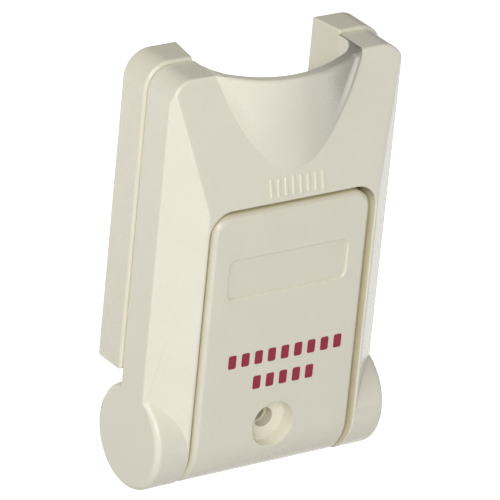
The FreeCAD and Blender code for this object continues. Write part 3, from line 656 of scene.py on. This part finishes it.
@dataclass(frozen=True)
class Backdrop:
    """Plain white sweep, lit from below towards its back as a light table is."""

    name: str = "white_sweep"
    colour: Colour = (0.86, 0.86, 0.86)
    glow: tuple[float, float] = (0.02, 1.05)
    turn: float = 36.0
    start: float = 0.07
    reach: float = 0.12
    roughness: float = 0.9
    fibre_size: float = 4 * MM
    fibre_shade: float = 0.99

    def material(self) -> bpy.types.Material:
        """Lay out the sweep's nodes.

        Returns:
            The material.
        """
        sheet = ShaderSheet(self.name)
        fibres = sheet.noise(self.fibre_size)
        sheet.set(Base_Color=sheet.blend(fibres, scaled(self.colour, self.fibre_shade), self.colour))
        turned = {"Vector": sheet.coordinates, "Rotation": (0.0, 0.0, math.radians(self.turn))}
        _, back, _ = sheet.axes(sheet.add("ShaderNodeMapping", turned).outputs["Vector"])
        glow = sheet.ramp(back, self.start, self.start + self.reach, *self.glow)
        sheet.set(Roughness=self.roughness, Emission_Color=(*WHITE, 1.0), Emission_Strength=glow)
        return sheet.material


def add_bevel(piece: bpy.types.Object, name: str, radius: float, segments: int,
              clamped: bool) -> bpy.types.Modifier:
    """Add a bevel modifier.

    Args:
        piece: Mesh object that gets it.
        name: Name of the modifier.
        radius: Width of the bevel in millimetres.
        segments: Number of its segments.
        clamped: Whether it stops where two bevels would meet.

    Returns:
        The modifier.
    """
    bevel = piece.modifiers.new(name, "BEVEL")
    bevel.width = radius * MM
    bevel.segments = segments
    bevel.harden_normals = False
    bevel.use_clamp_overlap = clamped
    return bevel


@dataclass(frozen=True)
class SoftRun:
    """One run of edges that has its own, larger radius."""

    name: str
    radius: float
    along: Callable[[float, float, float], bool]
    segments: int = 4

    def apply(self, piece: bpy.types.Object) -> None:
        """Group the run's points and round the edges between them.

        Args:
            piece: Mesh object that gets the modifier.
        """
        run = piece.vertex_groups.new(name=self.name)
        points = [vert.index for vert in piece.data.vertices if self.along(*located(vert.co))]
        run.add(points, 1.0, "REPLACE")
        bevel = add_bevel(piece, self.name, self.radius, self.segments, clamped=False)
        bevel.limit_method = "VGROUP"
        bevel.vertex_group = self.name
        LOG.info("%s: %d points", self.name, len(points))


@dataclass(frozen=True)
class EdgeBreak:
    """Small radius that a mould or a deburring tool leaves on every sharp edge."""

    radius: float
    segments: int = 2
    sharper_than: float = math.radians(28)
    clamped: bool = True
    seam: float = 0.002
    flat_within: float = math.radians(1.0)
    face_weight: int = 80

    def apply(self, piece: bpy.types.Object, runs: tuple[SoftRun, ...] = ()) -> None:
        """Close the piece's loose triangles, join flat faces and round its sharp edges.

        Args:
            piece: Mesh object that gets the modifiers.
            runs: Runs of edges with a radius of their own, rounded first.
        """
        weld = piece.modifiers.new("closed_seams", "WELD")
        weld.merge_threshold = self.seam * MM
        flat = piece.modifiers.new("flat_faces", "DECIMATE")
        flat.decimate_type = "DISSOLVE"
        flat.angle_limit = self.flat_within
        for run in runs:
            run.apply(piece)
        bevel = add_bevel(piece, "broken_edges", self.radius, self.segments, self.clamped)
        bevel.limit_method = "ANGLE"
        bevel.angle_limit = self.sharper_than
        normals = piece.modifiers.new("even_normals", "WEIGHTED_NORMAL")
        normals.keep_sharp = True
        normals.weight = self.face_weight


def shade_smooth(piece: bpy.types.Object) -> None:
    """Let light run smoothly over a piece's faces.

    Args:
        piece: Mesh object to shade.
    """
    for face in piece.data.polygons:
        face.use_smooth = True
    sharp = piece.data.attributes.get("sharp_edge")
    if sharp:
        piece.data.attributes.remove(sharp)


def dress(piece: bpy.types.Object, finish: bpy.types.Material, edges: EdgeBreak,
          runs: tuple[SoftRun, ...] = ()) -> None:
    """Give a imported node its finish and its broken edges.

    Args:
        piece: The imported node.
        finish: Its material.
        edges: Radius of its edges.
        runs: Runs of edges with a radius of their own.
    """
    piece.data.materials.clear()
    piece.data.materials.append(finish)
    shade_smooth(piece)
    edges.apply(piece, runs)
    LOG.info("%s dressed", piece.name)


def settled(name: str, mesh: bmesh.types.BMesh) -> bpy.types.Mesh:
    """Turn a finished bmesh into mesh data, and free it.

    Args:
        name: Name of the data.
        mesh: The bmesh.

    Returns:
        The mesh data.
    """
    data = bpy.data.meshes.new(name)
    mesh.to_mesh(data)
    mesh.free()
    return data


def add_object(name: str, data: bpy.types.ID) -> bpy.types.Object:
    """Add an object to the scene.

    Args:
        name: Name of the object.
        data: Its mesh, light or camera.

    Returns:
        The new object.
    """
    added = bpy.data.objects.new(name, data)
    bpy.context.scene.collection.objects.link(added)
    return added


def make_piece(name: str, mesh: bmesh.types.BMesh, finish: bpy.types.Material, body: Body) -> None:
    """Turn a finished bmesh into a piece that rides on a body.

    Args:
        name: Name of the piece.
        mesh: Its shape in place; it is freed.
        finish: Its material.
        body: Body that it moves with.
    """
    bmesh.ops.recalc_face_normals(mesh, faces=mesh.faces)
    piece = add_object(name, settled(name, mesh))
    piece.data.materials.append(finish)
    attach(piece, body.value)
    LOG.info("%s made", name)


@dataclass(frozen=True)
class RoundedBlock:
    """Block with rounded upright corners and softened front edges."""

    width: float
    thickness: float
    height: float
    corner: float
    edge: float
    corner_segments: int = 4
    edge_segments: int = 2
    front_from: float = 0.49

    def add_to(self, mesh: bmesh.types.BMesh, turn: Matrix, middle: Vector) -> None:
        """Add the block to a mesh.

        Args:
            mesh: Mesh that grows by the block.
            turn: Rotation of the block about its middle.
            middle: Where its middle goes, in metres.
        """
        size = Vector((self.width, self.thickness, self.height)) * MM
        block = bmesh.new()
        bmesh.ops.create_cube(block, size=1.0, matrix=Matrix.Diagonal((*size, 1.0)))
        along = [each for each in block.edges if abs((each.verts[0].co - each.verts[1].co).y) > size.y / 2]
        self.round_off(block, along, self.corner, self.corner_segments)
        foremost = -size.y * self.front_from
        front = [each for each in block.edges if all(vert.co.y < foremost for vert in each.verts)]
        self.round_off(block, front, self.edge, self.edge_segments)
        bmesh.ops.transform(block, matrix=Matrix.Translation(middle) @ turn, verts=block.verts)
        joined = settled("block", block)
        mesh.from_mesh(joined)
        bpy.data.meshes.remove(joined)

    def round_off(self, block: bmesh.types.BMesh, edges: list[bmesh.types.BMEdge], radius: float,
                  segments: int) -> None:
        """Round some of the block's edges."""
        bmesh.ops.bevel(block, geom=edges, offset=radius * MM, offset_type="OFFSET", segments=segments,
                        profile=0.5, affect="EDGES", material=-1)


@dataclass
class Finishes:
    """Materials of the switch, made once and shared by its pieces."""

    housing: bpy.types.Material = field(init=False)
    cover: bpy.types.Material = field(init=False)
    lever: bpy.types.Material = field(init=False)
    ink: bpy.types.Material = field(init=False)
    pin: bpy.types.Material = field(init=False)
    spring: bpy.types.Material = field(init=False)
    magnet: bpy.types.Material = field(init=False)
    keeper: bpy.types.Material = field(init=False)
    laminate: bpy.types.Material = field(init=False)
    glass: bpy.types.Material = field(init=False)
    terminal: bpy.types.Material = field(init=False)
    screw: bpy.types.Material = field(init=False)
    brass: bpy.types.Material = field(init=False)

    def __post_init__(self) -> None:
        """Make every material."""
        cover_ivory, lever_ivory = (0.703, 0.672, 0.566), (0.705, 0.676, 0.575)
        green_mask, green_track = (0.020, 0.130, 0.045), (0.045, 0.240, 0.080)
        self.housing = MouldedPlastic("ivory_housing_plastic", IVORY).material()
        # The cover's screw well has painted light in it
        self.cover = MouldedPlastic("ivory_cover_plastic", cover_ivory, well=PaintedLightWell()).material()
        # The lever's crease carries a painted shade line and a painted highlight
        self.lever = MouldedPlastic("ivory_lever_plastic", lever_ivory, crease=LipCrease()).material()
        self.ink = PadPrint("dark_red_ink", (0.285, 0.015, 0.042)).material()
        self.pin = Metal("ground_pin_steel", (0.56, 0.56, 0.57), 0.24, Grain.ALONG_X).material()
        self.spring = Metal("hardened_spring_steel", (0.33, 0.33, 0.36), 0.34).material()
        self.magnet = Metal("cast_magnet_alloy", (0.20, 0.20, 0.21), 0.48, mark_size=0.4 * MM).material()
        self.keeper = MouldedPlastic("keeper_plastic", IVORY, roughness=0.46).material()
        self.laminate = BoardLaminate("board_laminate", green_mask, green_track).material()
        self.glass = ReedGlass("reed_glass", (0.62, 0.80, 0.66)).material()
        self.terminal = MouldedPlastic("terminal_plastic", (0.015, 0.100, 0.040), roughness=0.36).material()
        self.screw = Metal("zinc_plated_steel", (0.60, 0.61, 0.62), 0.30, tarnish=0.2).material()
        self.brass = Metal("clamp_brass", (0.70, 0.50, 0.20), 0.28, Grain.ALONG_Y).material()


@dataclass(frozen=True)
class Housing:
    """Rear tray with its two ears and the fixed centre box."""

    edge: float = 0.30

    def build(self, nodes: dict[str, bpy.types.Object], finishes: Finishes) -> None:
        """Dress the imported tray.

        Args:
            nodes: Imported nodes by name.
            finishes: Shared materials.
        """
        dress(nodes["rear_housing"], finishes.housing, EdgeBreak(self.edge, clamped=False))


@dataclass(frozen=True)
class PrintRow:
    """Level row of evenly spaced printed blocks, placed by its middle."""

    name: str
    count: int
    middle: float
    height: float


@dataclass(frozen=True)
class FrontCover:
    """Fixed cover in the window of the lever, with two rows of plain printed blocks."""

    edge: float = 0.30
    face_round: float = 0.45
    plaque_round: float = 0.35
    front: float = 25.25
    half: float = 21.15
    top: float = 69.3
    bevel: float = 0.9
    corner: float = 4.4
    plaque_half: float = 15.9
    plaque_height: float = 53.4
    plaque_rise: float = 4.75
    film: float = 0.04
    sunk: float = 0.06
    block_height: float = 3.3
    block_width: float = 2.1
    block_pitch: float = 3.56
    block_corner: float = 0.45
    block_edge: float = 0.01
    rows: tuple[PrintRow, ...] = (
        PrintRow("print_upper_row", 9, 1.35, 32.9),
        PrintRow("print_lower_row", 5, 1.45, 26.65),
    )

    def build(self, nodes: dict[str, bpy.types.Object], finishes: Finishes) -> None:
        """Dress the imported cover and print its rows.

        Args:
            nodes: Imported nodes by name.
            finishes: Shared materials.
        """
        runs = (
            SoftRun("face_round", self.face_round, self.on_face_edge),
            SoftRun("side_round", self.face_round, self.on_side_edge),
            SoftRun("plaque_round", self.plaque_round, self.on_plaque_edge),
        )
        dress(nodes["front_cover"], finishes.cover, EdgeBreak(self.edge), runs)
        for row in self.rows:
            make_piece(row.name, self.row_mesh(row), finishes.ink, Body.BASE)

    def on_face_edge(self, x: float, depth: float, height: float) -> bool:
        """Whether a place lies where the bevel meets the cover's face.

        Args:
            x: Distance right of the middle plane.
            depth: Distance off the wall.
            height: Height above the barrel's foot.

        Returns:
            True on that edge.
        """
        at_side = abs(x) > self.half - self.bevel - NEAR
        at_corner = abs(x) > self.half - self.corner and height > self.top - self.corner
        at_top = height > self.top - self.bevel - NEAR
        on_face = depth > self.front - NEAR and (at_side or at_corner or at_top)
        on_foot = height < HINGE_HEIGHT and on_barrel(depth, height, self.front - HINGE_DEPTH)
        return on_face or (on_foot and at_side)

    def on_side_edge(self, x: float, depth: float, height: float) -> bool:
        """Whether a place lies where the bevel meets the cover's sides and top.

        Args:
            x: Distance right of the middle plane.
            depth: Distance off the wall.
            height: Height above the barrel's foot.

        Returns:
            True on that edge.
        """
        at_rim = abs(x) > self.half - self.corner or height > self.top - NEAR
        on_bevel = abs(depth - (self.front - self.bevel)) < NEAR and at_rim
        on_foot = height < HINGE_HEIGHT and on_barrel(depth, height, self.front - HINGE_DEPTH - self.bevel)
        return on_bevel or (on_foot and abs(x) > self.half - NEAR)

    def on_plaque_edge(self, x: float, depth: float, height: float) -> bool:
        """Whether a place lies on the edge between the cover's face and the bare plaque's recess."""
        aside, above = abs(x) - self.plaque_half, abs(height - self.plaque_height) - self.plaque_rise
        return aside < NEAR and above < NEAR and abs(depth - self.front) < NEAR

    def row_mesh(self, row: PrintRow) -> bmesh.types.BMesh:
        """Flat rounded blocks of one printed row.

        Args:
            row: Count and place of the blocks.

        Returns:
            The row's mesh, in place.
        """
        mesh = bmesh.new()
        thickness = self.film + self.sunk
        block = RoundedBlock(self.block_width, thickness, self.block_height, self.block_corner,
                             self.block_edge)
        for number in range(row.count):
            x = row.middle + (number - (row.count - 1) / 2) * self.block_pitch
            block.add_to(mesh, Matrix(), place(x, self.front + self.film - thickness / 2, row.height))
        return mesh


@dataclass(frozen=True)
class PullLever(LeverSizes):
    """Lever with ears and finger lip, and the plain grip ribs raised on its sloping brow."""

    edge: float = 0.30
    rim_front_round: float = 0.9
    rim_back_round: float = 0.5
    window_round: float = 0.25
    recess_round: float = 0.4
    disc_round: float = 0.5
    half: float = 31.05
    window_half: float = 22.3
    barrel_radius: float = 12.4
    disc_bevel: float = 0.9
    disc_soft_top: float = 21.5
    lip_wall: float = 3.0
    rim_drop: float = 2.15
    rim_end: float = 17.4
    rim_reach: float = 0.03
    recess_half: float = 19.2
    recess_back: float = 12.03
    brow_head_depth: float = 18.0
    rib_count: int = 8
    rib_middle: float = 0.6
    rib_span: float = 14.6
    rib_low: float = 71.9
    rib_high: float = 76.0
    rib_width: float = 0.7
    rib_rise: float = 0.24
    rib_sunk: float = 0.3
    rib_corner: float = 0.3
    rib_edge: float = 0.12

    def build(self, nodes: dict[str, bpy.types.Object], finishes: Finishes) -> None:
        """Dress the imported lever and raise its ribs.

        Args:
            nodes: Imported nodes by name.
            finishes: Shared materials.
        """
        runs = (
            SoftRun("rim_front_round", self.rim_front_round, self.on_rim_front),
            SoftRun("rim_back_round", self.rim_back_round, self.on_rim_back),
            SoftRun("window_round", self.window_round, self.on_window_edge),
            SoftRun("recess_round", self.recess_round, self.on_recess_edge),
            SoftRun("disc_round", self.disc_round, self.on_disc_edge),
            SoftRun("disc_face_round", self.disc_round, self.on_disc_face),
        )
        dress(nodes["pull_lever"], finishes.lever, EdgeBreak(self.edge), runs)
        make_piece("brow_grip_ribs", self.rib_mesh(), finishes.lever, Body.LEVER)

    def sag(self, x: float, radius: float) -> float:
        """How far a circle of the given radius has fallen away at a distance from its middle."""
        return radius - math.sqrt(radius ** 2 - min(x ** 2, self.recess_half ** 2))

    def on_rim(self, x: float, height: float) -> bool:
        """Whether a place lies on the lip's upper rim, short of its ends.

        Args:
            x: Distance right of the middle plane.
            height: Height above the barrel's foot.

        Returns:
            True on the rim.
        """
        radius = (self.recess_half ** 2 + self.rim_drop ** 2) / (2 * self.rim_drop)
        rim = self.top - self.rim_drop + self.sag(x, radius)
        return abs(x) < self.rim_end and abs(height - rim) < self.rim_reach

    def wall_middle(self, x: float) -> float:
        """Depth at which the middle of the lip's thickness lies at its rim."""
        return self.front - self.lip_set_back - self.sag(x, self.lip_radius) - self.lip_wall / 2

    def on_rim_front(self, x: float, depth: float, height: float) -> bool:
        """Whether a place lies on the front edge of the lip's rim."""
        return self.on_rim(x, height) and depth > self.wall_middle(x)

    def on_rim_back(self, x: float, depth: float, height: float) -> bool:
        """Whether a place lies on the back edge of the lip's rim."""
        return self.on_rim(x, height) and depth < self.wall_middle(x)

    def on_window_edge(self, x: float, depth: float, height: float) -> bool:
        """Whether a place lies on the front edge of the window that the cover fills."""
        outermost = depth > self.front - NEAR or on_barrel(depth, height, self.barrel_radius)
        return outermost and abs(x) < self.window_half + NEAR

    def on_recess_edge(self, x: float, depth: float, height: float) -> bool:
        """Whether a place lies on the upper edge of the finger recess, behind the lip."""
        in_reach = abs(x) < self.recess_half + NEAR and depth < self.recess_back + NEAR
        return in_reach and height > self.top - NEAR

    def on_disc_edge(self, x: float, depth: float, height: float) -> bool:
        """Whether a place lies where the barrel meets the bevel at its ends."""
        return on_barrel(depth, height, self.barrel_radius) and abs(x) > self.half - self.disc_bevel - NEAR

    def on_disc_face(self, x: float, depth: float, height: float) -> bool:
        """Whether a place lies round the barrel's end faces, short of where the ears begin."""
        on_edge = on_barrel(depth, height, self.barrel_radius - self.disc_bevel) and abs(x) > self.half - NEAR
        return on_edge and not (depth > HINGE_DEPTH and height > self.disc_soft_top)

    def rib_mesh(self) -> bmesh.types.BMesh:
        """Upright ribs side by side on the brow.

        Returns:
            The ribs' mesh, in place.
        """
        run = self.front - self.brow_head_depth
        rise = self.top - self.brow_foot
        lean = math.atan2(run, rise)
        height = (self.rib_low + self.rib_high) / 2
        depth = self.front - run * (height - self.brow_foot) / rise
        thickness = self.rib_rise + self.rib_sunk
        length = (self.rib_high - self.rib_low) / math.cos(lean)
        rib = RoundedBlock(self.rib_width, thickness, length, self.rib_corner, self.rib_edge)
        outward = (self.rib_rise - self.rib_sunk) / 2
        turn = Matrix.Rotation(-lean, 4, "X")
        mesh = bmesh.new()
        for number in range(self.rib_count):
            x = self.rib_middle + (number / (self.rib_count - 1) - 0.5) * (self.rib_span - self.rib_width)
            spot = place(x, depth + outward * math.cos(lean), height + outward * math.sin(lean))
            rib.add_to(mesh, turn, spot)
        return mesh


@dataclass(frozen=True)
class Inside:
    """Hidden pieces: hinge pins and washers, magnet, board, reed switch and terminals."""

    edge: float = 0.06
    fine_edge: float = 0.03

    def build(self, nodes: dict[str, bpy.types.Object], finishes: Finishes) -> None:
        """Dress every hidden piece.

        Args:
            nodes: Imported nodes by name.
            finishes: Shared materials.
        """
        looks = {
            "hinge_pin": (finishes.pin, self.edge),
            "spring_washer": (finishes.spring, self.fine_edge),
            "bar_magnet": (finishes.magnet, self.edge),
            "magnet_keeper": (finishes.keeper, self.edge),
            "circuit_board": (finishes.laminate, self.edge),
            "board_screw": (finishes.screw, self.fine_edge),
            "reed_switch": (finishes.glass, self.fine_edge),
            "terminal_block": (finishes.terminal, self.edge),
            "terminal_screw": (finishes.screw, self.fine_edge),
            "terminal_clamp": (finishes.brass, self.fine_edge),
        }
        for name, node in nodes.items():
            for start, (finish, radius) in looks.items():
                if name.startswith(start):
                    dress(node, finish, EdgeBreak(radius))


@dataclass(frozen=True)
class SoftLight:
    """Square softbox that looks at the middle of the switch."""

    name: str
    azimuth: float
    elevation: float
    distance: float
    size: float
    watts: float
    tint: Colour = WHITE

    def build(self, aim: Vector) -> None:
        """Hang the softbox.

        Args:
            aim: Point that it looks at.
        """
        light = bpy.data.lights.new(self.name, "AREA")
        light.shape = "SQUARE"
        light.size = self.size
        light.energy = self.watts
        light.color = self.tint
        lamp = add_object(self.name, light)
        turn, lift = math.radians(self.azimuth), math.radians(self.elevation)
        away = Vector((math.sin(turn) * math.cos(lift), -math.cos(turn) * math.cos(lift), math.sin(lift)))
        lamp.location = aim + away * self.distance
        lamp.rotation_euler = away.to_track_quat("Z", "Y").to_euler()


@dataclass(frozen=True)
class Studio:
    """White sweep, soft lights and an even pale surround."""

    drop: float = 0.15
    width: float = 6.0
    surround: float = 0.115
    lights: tuple[SoftLight, ...] = (
        SoftLight("key_softbox", -38, 29, 1.2, 0.50, 8.1),
        SoftLight("left_top_fill", -80, 50, 1.2, 0.50, 5.9, (1.0, 0.985, 0.94)),
        SoftLight("front_fill", 0, 4, 1.2, 0.60, 2.1),
        SoftLight("right_edge", 100, 4, 1.2, 0.50, 1.25, (0.92, 0.96, 1.0)),
    )

    def build(self) -> None:
        """Lay the sweep, hang the lights and set the surround."""
        low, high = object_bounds()
        self.lay_sweep(low.z - self.drop)
        for light in self.lights:
            light.build((low + high) / 2)
        bpy.context.scene.view_settings.view_transform = "Standard"
        self.set_surround()

    def lay_sweep(self, level: float) -> None:
        """Lay the sweep below the switch.

        Args:
            level: Its height in the row frame.
        """
        mesh = bmesh.new()
        floor = Matrix.Translation((0.0, 0.0, level))
        bmesh.ops.create_grid(mesh, x_segments=1, y_segments=1, size=self.width / 2, matrix=floor)
        sweep = add_object("sweep", settled("sweep", mesh))
        sweep.data.materials.append(Backdrop().material())
        sweep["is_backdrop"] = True

    def set_surround(self) -> None:
        """Light the scene evenly from all around."""
        world = bpy.data.worlds.new("pale_surround")
        world.use_nodes = True
        background = world.node_tree.nodes["Background"]
        background.inputs["Color"].default_value = (*WHITE, 1.0)
        background.inputs["Strength"].default_value = self.surround
        bpy.context.scene.world = world


@dataclass(frozen=True)
class ProductCamera:
    """Long lens from the upper left, as the photograph was taken."""

    spot: tuple[float, float, float] = (-0.7461, -1.0272, 0.5895)
    aim: tuple[float, float, float] = (-0.00090, -0.01137, 0.00989)
    roll: float = 5.65
    lens: float = 446.1
    sensor: float = 36.0
    nearest: float = 0.05
    farthest: float = 20.0

    def build(self) -> None:
        """Place the camera and make it the scene's own."""
        data = bpy.data.cameras.new("product_camera")
        data.lens = self.lens
        data.sensor_width = self.sensor
        data.clip_start = self.nearest
        data.clip_end = self.farthest
        camera = add_object("product_camera", data)
        gaze = Vector(self.aim) - Vector(self.spot)
        turn = gaze.to_track_quat("-Z", "Y").to_matrix() @ Matrix.Rotation(math.radians(self.roll), 3, "Z")
        camera.matrix_world = Matrix.Translation(self.spot) @ turn.to_4x4()
        bpy.context.scene.camera = camera


def main() -> None:
    """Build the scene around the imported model, in order."""
    logging.basicConfig(level=logging.INFO, format="%(name)s: %(message)s")
    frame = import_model()
    ProductCamera().build()
    finishes = Finishes()
    for part in (Housing(), FrontCover(), PullLever(), Inside()):
        part.build(frame["nodes"], finishes)
        LOG.info("%s built", type(part).__name__)
    Studio().build()
    LOG.info("studio set")


if __name__ == "__main__":
    main()
